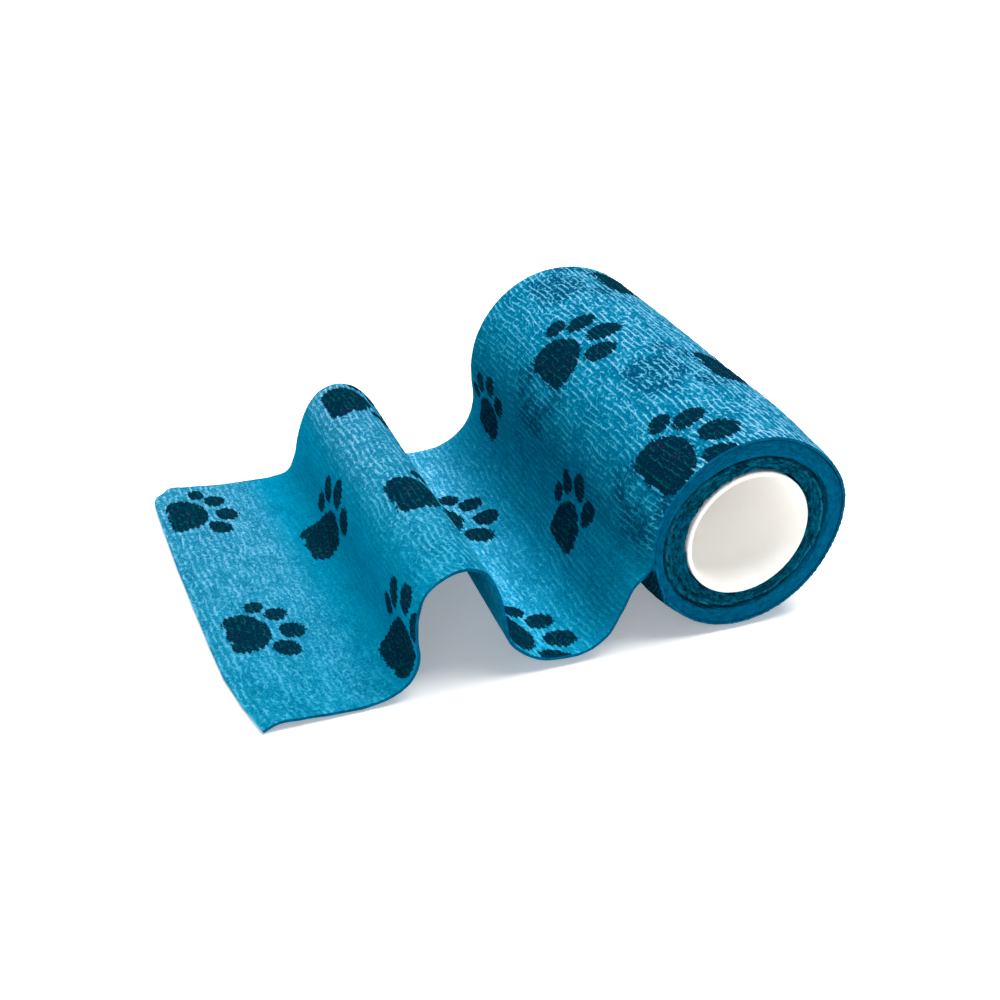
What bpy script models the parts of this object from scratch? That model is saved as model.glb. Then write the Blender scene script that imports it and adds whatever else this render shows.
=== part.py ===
"""Cohesive bandage roll: a crinkled strip wound on an open plastic core.

The roll lies on its side along Y. The strip leaves its left side, dips to the surface, rises in
one tall narrow fold and runs out flat to its cut end at -X. The strip and the wound roll are one
solid; the core is a second one, a small gap away inside the roll's bore.

The origin is at the bottom centre of the whole thing. Lengths in the tables are millimetres.
"""

import math
from typing import NamedTuple

import bmesh
import bpy

MM = 0.001

# The strip and its roll.
STRIP_WIDTH = 100.0 * MM
STRIP_THICKNESS = 1.0 * MM
ROLL_START_RADIUS = 24.1 * MM
ROLL_SINK = 0.14 * MM
LEAVE_ANGLE = 186.0
NOTCH_SLANT = 1.0
ROLL_STEPS = 60
FOLD_STEPS = 2

# The roll's ends are drawn in: the near one deeply, the far one hardly.
NEAR_SHOULDER_DROP = 1.6 * MM
NEAR_SHOULDER_WIDTH = 12.0 * MM
FAR_SHOULDER_DROP = 0.3 * MM
FAR_SHOULDER_WIDTH = 3.0 * MM

# The open core.
CORE_RADIUS = 14.75 * MM
CORE_WALL = 1.3 * MM
CORE_INSET = 0.3 * MM
CORE_RIM_BEVEL = 0.3 * MM
CORE_CLEARANCE = 0.3 * MM
CORE_STEPS = 48

# Places of the cross sections, as parts of the strip's width from its near edge.
SECTION_PLACES = (0.0, 0.02, 0.05, 0.1, 0.2, 0.35, 0.5, 0.65, 0.8, 0.9, 0.97, 0.992, 1.0)

FABRIC_BLUE = (0.02, 0.28, 0.45)
CORE_WHITE = (0.86, 0.85, 0.82)


class FoldRow(NamedTuple):
    """A line across the loose end: how far it reaches from the roll's axis, and its height."""

    name: str
    near_reach: float
    near_height: float
    far_reach: float
    far_height: float


class LumpRow(NamedTuple):
    """A soft rise or dip of the roll: its place, its height and how far it spreads."""

    name: str
    angle: float
    place: float
    rise: float
    angle_spread: float
    place_spread: float


class CutRow(NamedTuple):
    """A point of the cut end: its place across the strip and its reach from the roll's axis."""

    across: float
    reach: float


# The roll is a little uneven but for its underside, where it rests.
LUMP_ROWS = (
    LumpRow("near_right_shoulder", 15.0, 0.0, 1.0, 25.0, 0.06),
    LumpRow("near_top_dent", 50.0, 0.08, -0.6, 22.0, 0.07),
    LumpRow("right_swell", 40.0, 0.75, 0.25, 40.0, 0.25),
    LumpRow("far_top_dent", 85.0, 1.0, -0.3, 25.0, 0.15),
    LumpRow("middle_dip", 125.0, 0.45, -0.25, 30.0, 0.15),
)

# The middle of the strip's thickness, from the roll to the cut end.
FOLD_ROWS = (
    FoldRow("rise_high", 27.2, 16.2, 23.6, 13.6),
    FoldRow("rise_mid", 29.5, 11.2, 25.1, 8.4),
    FoldRow("rise_low", 32.5, 5.8, 28.5, 4.2),
    FoldRow("trough_in", 36.6, 3.0, 33.0, 1.7),
    FoldRow("trough", 42.4, 2.5, 38.5, 0.8),
    FoldRow("trough_out", 47.8, 3.5, 43.4, 1.1),
    FoldRow("foot_in", 52.4, 6.5, 46.6, 4.0),
    FoldRow("fall_low", 54.9, 9.4, 48.4, 8.4),
    FoldRow("fall_mid", 56.4, 15.6, 50.6, 14.4),
    FoldRow("fall_high", 58.4, 22.9, 53.9, 19.8),
    FoldRow("crest_in", 61.4, 27.8, 57.5, 23.0),
    FoldRow("crest", 65.6, 29.3, 61.8, 24.1),
    FoldRow("crest_out", 70.2, 28.0, 65.7, 22.8),
    FoldRow("shoulder", 73.8, 25.0, 68.5, 19.7),
    FoldRow("wall_high", 75.2, 20.4, 70.4, 15.6),
    FoldRow("wall_mid", 75.4, 14.8, 71.8, 10.8),
    FoldRow("wall_low", 75.0, 9.6, 73.0, 5.2),
    FoldRow("foot_turn", 76.9, 4.9, 75.0, 1.6),
    FoldRow("foot_out", 80.4, 2.5, 79.2, 0.55),
    FoldRow("flat_in", 85.6, 1.2, 85.2, 0.5),
    FoldRow("flat_mid", 92.6, 1.3, 93.2, 0.7),
    FoldRow("flat_out", 99.8, 1.8, 101.4, 1.5),
    FoldRow("end_lift", 104.6, 1.9, 106.0, 1.6),
    FoldRow("cut_end", 107.5, 0.6, 110.2, 0.5),
)

# The cut end is straight but for its slanting near corner and its rounded far one.
CUT_ROWS = (
    CutRow(0.0, 107.5),
    CutRow(9.5, 109.4),
    CutRow(20.0, 110.7),
    CutRow(30.0, 110.9),
    CutRow(65.0, 110.9),
    CutRow(90.0, 110.3),
    CutRow(97.0, 109.9),
    CutRow(99.2, 108.6),
    CutRow(100.0, 107.2),
)


def mix(start, end, share):
    """Return the value that lies `share` of the way from start to end."""
    return start + (end - start) * share


def roll_radius(turn):
    """Return the roll's outer radius a part of one turn after the strip's lower side leaves."""
    return ROLL_START_RADIUS + STRIP_THICKNESS * turn


def turn_at(angle):
    """Return the part of a turn at an angle in degrees, 0 and 1 where the strip leaves."""
    return (angle - LEAVE_ANGLE) / 360.0


# The roll sinks a little into a flat spot under its lowest line.
ROLL_HEIGHT = roll_radius(turn_at(270.0)) - ROLL_SINK
CUT_REACH = max(row.reach for row in CUT_ROWS) * MM
ROLL_X = (CUT_REACH - roll_radius(turn_at(360.0))) / 2.0


def shoulder_drop(place):
    """Return how far the roll's edge is drawn in at a place across the strip."""
    near = max(0.0, 1.0 - place * STRIP_WIDTH / NEAR_SHOULDER_WIDTH)
    far = max(0.0, 1.0 - (1.0 - place) * STRIP_WIDTH / FAR_SHOULDER_WIDTH)
    return NEAR_SHOULDER_DROP * near ** 2 + FAR_SHOULDER_DROP * far ** 2


def unevenness(angle, place):
    """Return how far the roll's soft lumps raise its surface at an angle and a place."""
    total = 0.0
    for lump in LUMP_ROWS:
        aside = (angle - lump.angle + 180.0) % 360.0 - 180.0
        along = (place - lump.place) / lump.place_spread
        total += lump.rise * MM * math.exp(-(aside / lump.angle_spread) ** 2 - along ** 2)
    return total


def roll_point(angle, radius):
    """Return the (x, z) of a point of the roll, kept above the surface that it lies on."""
    x = ROLL_X + radius * math.cos(math.radians(angle))
    z = ROLL_HEIGHT + radius * math.sin(math.radians(angle))
    return x, max(z, 0.0)


def roll_outline(place):
    """Return the outer points of one winding, from under the strip round to its upper side."""
    points = []
    for step in range(ROLL_STEPS + 1):
        angle = LEAVE_ANGLE + (360.0 * step / ROLL_STEPS if step else NOTCH_SLANT)
        radius = roll_radius(turn_at(angle)) - shoulder_drop(place) + unevenness(angle, place)
        points.append(roll_point(angle, radius))
    return points


def bore_outline():
    """Return the points round the roll's bore, one for each step of the outer winding."""
    radius = CORE_RADIUS + CORE_CLEARANCE
    angles = (LEAVE_ANGLE + 360.0 * step / ROLL_STEPS for step in range(ROLL_STEPS))
    return [roll_point(angle, radius) for angle in angles]


def cut_reach(place):
    """Return the cut end's reach from the roll's axis at a place across the strip."""
    across = place * STRIP_WIDTH / MM
    for row, after in zip(CUT_ROWS, CUT_ROWS[1:]):
        if across <= after.across:
            return mix(row.reach, after.reach, (across - row.across) / (after.across - row.across))
    return CUT_ROWS[-1].reach


def fold_line(place):
    """Return the (x, z) of every fold row at a place across the strip."""
    points = []
    for row in FOLD_ROWS:
        reach = mix(row.near_reach, row.far_reach, place)
        height = mix(row.near_height, row.far_height, place)
        if row.name == "cut_end":
            reach = cut_reach(place)
        points.append((ROLL_X - reach * MM, height * MM))
    return points


def smooth_line(points, steps):
    """Return a smooth curve through the points, with `steps` stretches between each two.

    It is a Catmull-Rom curve whose slopes allow for the points' uneven spacing. The first
    tangent is straight down, as the strip leaves the roll.
    """
    lengths = [math.dist(a, b) for a, b in zip(points, points[1:])]
    slopes = [(0.0, -1.0)]
    for i in range(1, len(points) - 1):
        before, after = lengths[i - 1], lengths[i]
        slope = []
        for axis in range(2):
            rate_before = (points[i][axis] - points[i - 1][axis]) / before
            rate_after = (points[i + 1][axis] - points[i][axis]) / after
            slope.append((rate_before * after + rate_after * before) / (before + after))
        slopes.append(tuple(slope))
    slopes.append(tuple((points[-1][axis] - points[-2][axis]) / lengths[-1] for axis in range(2)))
    curve = [points[0]]
    for i, length in enumerate(lengths):
        for step in range(1, steps + 1):
            t = step / steps
            blend = (2 * t**3 - 3 * t**2 + 1, t**3 - 2 * t**2 + t, 3 * t**2 - 2 * t**3, t**3 - t**2)
            curve.append(tuple(
                blend[0] * points[i][axis] + blend[1] * length * slopes[i][axis]
                + blend[2] * points[i + 1][axis] + blend[3] * length * slopes[i + 1][axis]
                for axis in range(2)))
    return curve


def sheet_sides(line):
    """Return the upper and the lower side of the strip along its middle line."""
    upper, lower = [], []
    last = len(line) - 1
    for i, (x, z) in enumerate(line):
        before, after = line[max(i - 1, 0)], line[min(i + 1, last)]
        along_x, along_z = after[0] - before[0], after[1] - before[1]
        length = math.hypot(along_x, along_z)
        half = STRIP_THICKNESS / 2.0
        side_x, side_z = along_z / length * half, -along_x / length * half
        upper.append((x + side_x, z + side_z))
        lower.append((x - side_x, max(z - side_z, 0.0)))
    return upper, lower


def section(place):
    """Return the loops of one cross section: the bore, the winding and the strip's two sides."""
    winding = roll_outline(place)
    root = tuple((a + b) / 2.0 for a, b in zip(winding[0], winding[-1]))
    upper, lower = sheet_sides(smooth_line([root] + fold_line(place), FOLD_STEPS))
    return bore_outline(), winding, upper[1:], lower[1:]


def add_section(mesh, place):
    """Add the points of one cross section to a mesh and return them as the same loops."""
    y = (place - 0.5) * STRIP_WIDTH
    return [[mesh.verts.new((x, y, z)) for x, z in loop] for loop in section(place)]


def add_end_face(mesh, loops):
    """Close an end of the strip: a ring of faces round the bore and a ladder up the loose end."""
    bore, winding, upper, lower = loops
    for i in range(ROLL_STEPS - 1):
        mesh.faces.new((bore[i], bore[i + 1], winding[i + 1], winding[i]))
    mesh.faces.new((bore[-1], bore[0], winding[0], winding[-1], winding[-2]))
    outer_side, inner_side = [winding[-1]] + upper, [winding[0]] + lower
    for i in range(len(upper)):
        mesh.faces.new((outer_side[i], outer_side[i + 1], inner_side[i + 1], inner_side[i]))


def add_walls(mesh, loops, next_loops):
    """Join two neighbouring cross sections by the bore's wall and the outer wall."""
    for bore_side in (0, 1):
        ring, next_ring = (
            (loops[0], next_loops[0]) if bore_side
            else (outer_loop(loops), outer_loop(next_loops)))
        for i in range(len(ring)):
            j = (i + 1) % len(ring)
            mesh.faces.new((ring[i], ring[j], next_ring[j], next_ring[i]))


def outer_loop(loops):
    """Return the closed outline of a cross section: round the roll, out and back on the strip."""
    _, winding, upper, lower = loops
    return winding + upper + lower[::-1]


def make_bandage():
    """Make the wound roll and its loose end as one body, lofted from section to section."""
    mesh = bmesh.new()
    stations = [add_section(mesh, place) for place in SECTION_PLACES]
    add_end_face(mesh, stations[0])
    add_end_face(mesh, stations[-1])
    for loops, next_loops in zip(stations, stations[1:]):
        add_walls(mesh, loops, next_loops)
    bmesh.ops.recalc_face_normals(mesh, faces=mesh.faces)
    data = bpy.data.meshes.new("bandage")
    mesh.to_mesh(data)
    mesh.free()
    data.shade_smooth()
    data.set_sharp_from_angle(angle=math.radians(40.0))
    return bpy.data.objects.new("bandage", data)


def make_core():
    """Make the core as a turned tube with softened rims, laid along Y inside the roll."""
    half = STRIP_WIDTH / 2.0 - CORE_INSET
    inner, bevel = CORE_RADIUS - CORE_WALL, CORE_RIM_BEVEL
    profile = [
        (CORE_RADIUS, half - bevel), (CORE_RADIUS, bevel - half), (CORE_RADIUS - bevel, -half),
        (inner + bevel, -half), (inner, bevel - half), (inner, half - bevel),
        (inner + bevel, half), (CORE_RADIUS - bevel, half)]
    data = bpy.data.meshes.new("core")
    edges = [(i, (i + 1) % len(profile)) for i in range(len(profile))]
    data.from_pydata([(radius, 0.0, along) for radius, along in profile], edges, [])
    core = bpy.data.objects.new("core", data)
    turn = core.modifiers.new("turn", "SCREW")
    turn.axis = "Z"
    turn.steps = turn.render_steps = CORE_STEPS
    turn.use_merge_vertices = True
    turn.merge_threshold = 0.00001
    core.rotation_euler = (math.radians(90.0), 0.0, 0.0)
    core.location = (ROLL_X, 0.0, ROLL_HEIGHT)
    return core


def make_material(name, colour, roughness):
    """Make a plain material with a colour and a roughness."""
    material = bpy.data.materials.new(name)
    material.use_nodes = True
    shader = material.node_tree.nodes["Principled BSDF"]
    shader.inputs["Base Color"].default_value = (*colour, 1.0)
    shader.inputs["Roughness"].default_value = roughness
    shader.inputs["Metallic"].default_value = 0.0
    return material


def main():
    """Clear the scene and build the bandage and its core."""
    for old in list(bpy.data.objects):
        bpy.data.objects.remove(old, do_unlink=True)
    roll = bpy.data.collections.new("bandage_roll")
    bpy.context.scene.collection.children.link(roll)
    pieces = (
        (make_bandage(), make_material("crepe_fabric", FABRIC_BLUE, 0.9)),
        (make_core(), make_material("white_plastic", CORE_WHITE, 0.35)))
    for piece, material in pieces:
        piece.data.materials.append(material)
        roll.objects.link(piece)


main()
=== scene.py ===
"""The dressed bandage roll: a crinkled, printed strip wound on an open plastic core.

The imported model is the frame. Two soft pieces stand for its bandage: the strip that shows, which is
the loose end and the outermost turn, and the turns wound below it. A finer tube stands for its core.

Lengths in the tables are millimetres. "Across" is measured over the strip from its near edge, and
"along" is measured on its outer side from the cut end, up the loose end and on round the roll.
"""

import logging
import math
from dataclasses import dataclass, replace
from enum import Enum
from functools import reduce
from typing import NamedTuple

import bpy
import numpy as np
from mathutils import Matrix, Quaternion, Vector

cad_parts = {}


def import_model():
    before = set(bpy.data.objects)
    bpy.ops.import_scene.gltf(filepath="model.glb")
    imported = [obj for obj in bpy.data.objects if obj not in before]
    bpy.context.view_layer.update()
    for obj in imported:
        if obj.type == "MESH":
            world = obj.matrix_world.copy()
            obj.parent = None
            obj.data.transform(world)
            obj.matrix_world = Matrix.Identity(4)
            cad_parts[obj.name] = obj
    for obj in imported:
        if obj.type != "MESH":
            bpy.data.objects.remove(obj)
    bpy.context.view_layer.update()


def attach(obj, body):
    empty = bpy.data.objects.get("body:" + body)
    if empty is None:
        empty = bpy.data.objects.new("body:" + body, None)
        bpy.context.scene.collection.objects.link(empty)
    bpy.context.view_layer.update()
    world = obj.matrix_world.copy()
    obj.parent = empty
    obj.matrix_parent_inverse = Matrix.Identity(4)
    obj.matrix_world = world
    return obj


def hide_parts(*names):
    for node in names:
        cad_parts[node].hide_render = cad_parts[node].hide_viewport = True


MM = 0.001
UV_NAME = "strip"
UV_MM = 100.0  # a UV unit is this many millimetres
PLACE_NAME = "strip_place"
SIDE_NAME = "outer_side"
RING_NAME = "ring"  # how many turns inside the crevice a point lies, plus the offset; 0 if not wound
RING_OFFSET = 20.0
# The stretch table's tone is painted light and shade, a factor that lightens or darkens the cloth's
# colour.
LOOK_TOP = 2.0  # the most that a crinkle or a tone may be, because a colour ramp holds shares of 1
NOISE_ROUGHNESS = 0.6

log = logging.getLogger("bandage_roll")


class FoldRow(NamedTuple):
    """A line across the loose end: how far it reaches from the roll's axis, and its height."""

    name: str
    near_reach: float
    near_height: float
    far_reach: float
    far_height: float


class LumpRow(NamedTuple):
    """A soft rise or dip of the roll: its place, its height and how far it spreads."""

    name: str
    angle: float
    place: float
    rise: float
    angle_spread: float
    place_spread: float


class CutRow(NamedTuple):
    """A point of the cut end: its place across the strip and its reach from the roll's axis."""

    across: float
    reach: float


class StretchRow(NamedTuple):
    """A place along the strip, and how its cloth is there.

    The crinkle is how strongly its ridges show, and also how strongly its threads take the painted
    highlight, so it is partly painted light and is low where the cloth lies in shade. The tone is
    painted light and shade, a factor that lightens or darkens the cloth where light falls on it or
    misses it. Regular is 0 where its threads are slack and 1 where they are stretched.
    """

    name: str
    along: float
    crinkle_and_highlight: float
    tone: float
    regular: float


class BlobRow(NamedTuple):
    """An ellipse of the printed paw: its centre, its half sizes and its turn in degrees."""

    name: str
    across: float
    along: float
    half_across: float
    half_along: float
    turn: float


class LightRow(NamedTuple):
    """A square soft light: its direction and distance from the target, its side and its power."""

    name: str
    azimuth: float
    elevation: float
    distance: float
    side: float
    watts: float


LUMP_ROWS = (
    LumpRow("near_right_shoulder", 15.0, 0.0, 1.0, 25.0, 0.06),
    LumpRow("near_top_dent", 50.0, 0.08, -0.6, 22.0, 0.07),
    LumpRow("right_swell", 40.0, 0.75, 0.25, 40.0, 0.25),
    LumpRow("far_top_dent", 85.0, 1.0, -0.3, 25.0, 0.15),
    LumpRow("middle_dip", 125.0, 0.45, -0.25, 30.0, 0.15),
)

FOLD_ROWS = (
    FoldRow("rise_high", 27.2, 16.2, 23.6, 13.6),
    FoldRow("rise_mid", 29.5, 11.2, 25.1, 8.4),
    FoldRow("rise_low", 32.5, 5.8, 28.5, 4.2),
    FoldRow("trough_in", 36.6, 3.0, 33.0, 1.7),
    FoldRow("trough", 42.4, 2.5, 38.5, 0.8),
    FoldRow("trough_out", 47.8, 3.5, 43.4, 1.1),
    FoldRow("foot_in", 52.4, 6.5, 46.6, 4.0),
    FoldRow("fall_low", 54.9, 9.4, 48.4, 8.4),
    FoldRow("fall_mid", 56.4, 15.6, 50.6, 14.4),
    FoldRow("fall_high", 58.4, 22.9, 53.9, 19.8),
    FoldRow("crest_in", 61.4, 27.8, 57.5, 23.0),
    FoldRow("crest", 65.6, 29.3, 61.8, 24.1),
    FoldRow("crest_out", 70.2, 28.0, 65.7, 22.8),
    FoldRow("shoulder", 73.8, 25.0, 68.5, 19.7),
    FoldRow("wall_high", 75.2, 20.4, 70.4, 15.6),
    FoldRow("wall_mid", 75.4, 14.8, 71.8, 10.8),
    FoldRow("wall_low", 75.0, 9.6, 73.0, 5.2),
    FoldRow("foot_turn", 76.9, 4.9, 75.0, 1.6),
    FoldRow("foot_out", 80.4, 2.5, 79.2, 0.55),
    FoldRow("flat_in", 85.6, 1.2, 85.2, 0.5),
    FoldRow("flat_mid", 92.6, 1.3, 93.2, 0.7),
    FoldRow("flat_out", 99.8, 1.8, 101.4, 1.5),
    FoldRow("end_lift", 104.6, 1.9, 106.0, 1.6),
    FoldRow("cut_end", 107.5, 0.6, 110.2, 0.5),
)

CUT_ROWS = (
    CutRow(0.0, 107.5),
    CutRow(9.5, 109.4),
    CutRow(20.0, 110.7),
    CutRow(30.0, 110.9),
    CutRow(65.0, 110.9),
    CutRow(90.0, 110.3),
    CutRow(97.0, 109.9),
    CutRow(99.2, 108.6),
    CutRow(100.0, 107.2),
)

# The crinkle column also sets the threads' painted highlight. The tone column is painted light and shade:
# lighter where light falls, as on the trough, and darker where shade falls, as on the roll's left side
# and underside.
STRETCH_ROWS = (
    StretchRow("cut_end", 0.0, 0.95, 0.98, 0.60),
    StretchRow("flat_out", 10.0, 0.95, 0.98, 0.35),
    StretchRow("flat", 22.0, 0.90, 1.00, 0.20),
    StretchRow("wall_foot", 33.0, 0.35, 1.12, 0.20),
    StretchRow("wall", 46.0, 0.30, 1.12, 0.20),
    StretchRow("shoulder", 53.0, 0.65, 1.00, 0.60),
    StretchRow("crest", 60.0, 1.15, 0.95, 0.70),
    StretchRow("crest_back", 67.0, 0.95, 0.88, 0.70),
    StretchRow("fall", 80.0, 0.60, 0.95, 0.40),
    StretchRow("trough", 98.0, 1.00, 1.36, 0.45),
    StretchRow("rise_foot", 109.0, 0.65, 1.10, 0.60),
    StretchRow("rise", 120.0, 0.50, 0.95, 0.60),
    StretchRow("roll_left", 134.0, 0.55, 0.77, 0.80),
    StretchRow("roll_shoulder", 150.0, 0.80, 1.02, 1.00),
    StretchRow("roll_top", 168.0, 1.15, 1.02, 1.00),
    StretchRow("roll_right", 192.0, 1.05, 0.90, 0.60),
    StretchRow("roll_low", 248.0, 1.00, 0.90, 1.00),
    StretchRow("roll_under", 268.0, 0.30, 0.75, 1.00),
    StretchRow("roll_inward", 281.0, 0.30, 0.75, 1.00),
)

PAW_ROWS = (
    BlobRow("heel", 0.2, -0.6, 7.7, 5.6, 0.0),
    BlobRow("heel_right", -4.6, -2.9, 3.3, 3.4, 0.0),
    BlobRow("heel_left", 4.8, -2.7, 3.2, 3.4, 0.0),
    BlobRow("heel_top", 0.3, 1.4, 5.8, 4.4, 0.0),
    BlobRow("toe_outer", 10.3, 4.6, 2.5, 2.7, -30.0),
    BlobRow("toe_high", 6.4, 9.5, 2.8, 3.4, -15.0),
    BlobRow("toe_mid", -1.2, 11.6, 3.2, 3.7, 8.0),
    BlobRow("toe_inner", -8.0, 7.6, 3.2, 3.8, 28.0),
)

LIGHT_ROWS = (
    LightRow("key", 95.0, 77.0, 1.0, 0.8, 17.0),
    LightRow("left", -95.0, 14.0, 1.1, 0.8, 4.5),
    LightRow("front", -25.0, 28.0, 1.2, 0.7, 2.0),
    LightRow("back", 165.0, 50.0, 1.0, 0.7, 1.5),
)


def smoothstep(share: np.ndarray) -> np.ndarray:
    """Return a share from 0 to 1 eased at both ends."""
    share = np.clip(share, 0.0, 1.0)
    return share * share * (3.0 - 2.0 * share)


class Field:
    """A number in a node tree, with its arithmetic written as Python operators."""

    def __init__(self, nodes: "Nodes", socket: bpy.types.NodeSocket) -> None:
        """Keep the node tree and the socket that gives the number."""
        self.nodes = nodes
        self.socket = socket

    def __add__(self, other: "Number") -> "Field":
        """Return self + other."""
        return self.nodes.math("ADD", self, other)

    def __sub__(self, other: "Number") -> "Field":
        """Return self - other."""
        return self.nodes.math("SUBTRACT", self, other)

    def __rsub__(self, other: "Number") -> "Field":
        """Return other - self."""
        return self.nodes.math("SUBTRACT", other, self)

    def __neg__(self) -> "Field":
        """Return -self."""
        return self.nodes.math("SUBTRACT", 0.0, self)

    def __mul__(self, other: "Number") -> "Field":
        """Return self * other."""
        return self.nodes.math("MULTIPLY", self, other)

    def __truediv__(self, other: "Number") -> "Field":
        """Return self / other."""
        return self.nodes.math("DIVIDE", self, other)

    def __pow__(self, other: "Number") -> "Field":
        """Return self ** other."""
        return self.nodes.math("POWER", self, other)

    __radd__ = __add__
    __rmul__ = __mul__

    def of(self, operation: str, *others: "Number") -> "Field":
        """Return a named Math operation on this number and any others."""
        return self.nodes.math(operation, self, *others)

    def clamp(self) -> "Field":
        """Return this number held between 0 and 1."""
        return self.of("MAXIMUM", 0.0).of("MINIMUM", 1.0)

    def bell(self) -> "Field":
        """Return 1 where this number is 0, falling off evenly on both sides."""
        return (-(self * self)).of("EXPONENT")

    def step(self, start: float, end: float) -> "Field":
        """Return 0 before start, 1 past end, and an eased share between them."""
        return self.nodes.field(
            "ShaderNodeMapRange", {"interpolation_type": "SMOOTHSTEP"},
            {"Value": self, "From Min": start, "From Max": end}, "Result")


Number = Field | float


class Nodes:
    """A shader's or a geometry's node tree, and the ways in which nodes are added to it."""

    def __init__(self, tree: bpy.types.NodeTree) -> None:
        """Keep the tree that the nodes go to."""
        self.tree = tree

    def add(self, kind: str, settings: dict | None = None, inputs: dict | None = None) -> bpy.types.Node:
        """Add a node.

        Args:
            kind: the node's type name.
            settings: its own settings, set first; "stops" are a ramp's (place, colour) pairs.
            inputs: values or fields for its inputs, by name or by number.

        Returns:
            The new node.
        """
        node = self.tree.nodes.new(kind)
        for name, value in (settings or {}).items():
            if name == "stops":
                self._set_stops(node, value)
            else:
                setattr(node, name, value)
        self.feed(node, inputs or {})
        return node

    def field(self, kind: str, settings: dict | None = None, inputs: dict | None = None,
              output: str | int = 0) -> Field:
        """Add a node, as add does, and return one of its outputs as a field."""
        return Field(self, self.add(kind, settings, inputs).outputs[output])

    @staticmethod
    def _set_stops(node: bpy.types.Node, stops: tuple) -> None:
        """Give a colour ramp its stops.

        Args:
            node: the ramp's node.
            stops: the stops as (place, colour) pairs.
        """
        elements = node.color_ramp.elements
        while len(elements) < len(stops):
            elements.new(1.0)
        for element, (place, colour) in zip(elements, stops):
            element.position = place
            element.color = (*colour, 1.0)

    def feed(self, node: bpy.types.Node, inputs: dict) -> None:
        """Feed a node's inputs: a field is linked, and a plain value is set on the input itself.

        Args:
            node: the node.
            inputs: the value or field for each input, by name or by number.
        """
        for key, value in inputs.items():
            socket = node.inputs[key]
            if isinstance(value, Field):
                self.tree.links.new(value.socket, socket)
            elif socket.type == "RGBA":
                socket.default_value = (*value, 1.0)
            else:
                socket.default_value = value

    def math(self, operation: str, *values: Number) -> Field:
        """Return a Math operation on one, two or three numbers."""
        return self.field("ShaderNodeMath", {"operation": operation}, dict(enumerate(values)))

    def vector(self, x: Number, y: Number, z: Number = 0.0) -> Field:
        """Return the vector of three numbers."""
        return self.field("ShaderNodeCombineXYZ", None, {"X": x, "Y": y, "Z": z})

    def split(self, vector: Field) -> tuple[Field, Field, Field]:
        """Return a vector's three numbers."""
        node = self.add("ShaderNodeSeparateXYZ", None, {0: vector})
        return Field(self, node.outputs[0]), Field(self, node.outputs[1]), Field(self, node.outputs[2])

    def noise(self, x: Number, y: Number, z: Number = 0.0, detail: float = 0.0) -> Field:
        """Return smooth noise about 0, from about -1 to 1, whose cells are one unit wide."""
        settings = {"noise_dimensions": "3D"}
        inputs = {
            "Vector": self.vector(x, y, z), "Scale": 1.0, "Detail": detail, "Roughness": NOISE_ROUGHNESS}
        return self.field("ShaderNodeTexNoise", settings, inputs) * 2.0 - 1.0

    def ramp(self, share: Number, stops: tuple) -> Field:
        """Return the colour that (place, colour) stops give for a share from 0 to 1."""
        return self.field("ShaderNodeValToRGB", {"stops": stops}, {0: share})

    def mix_colour(self, share: Number, start: object, end: object) -> Field:
        """Return the colour that lies a share of the way from start to end."""
        return self.field("ShaderNodeMix", {"data_type": "RGBA"}, {0: share, 6: start, 7: end}, 2)


@dataclass(frozen=True)
class Mottle:
    """A random variation over the strip: the size of its cells, its seed and its detail."""

    across: float
    along: float
    seed: float
    detail: float = 0.0

    def at(self, nodes: Nodes, across: Field, along: Field) -> Field:
        """Return the variation at a place on the strip, from about -1 to 1."""
        return nodes.noise(across / self.across, along / self.along, self.seed, self.detail)


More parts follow.
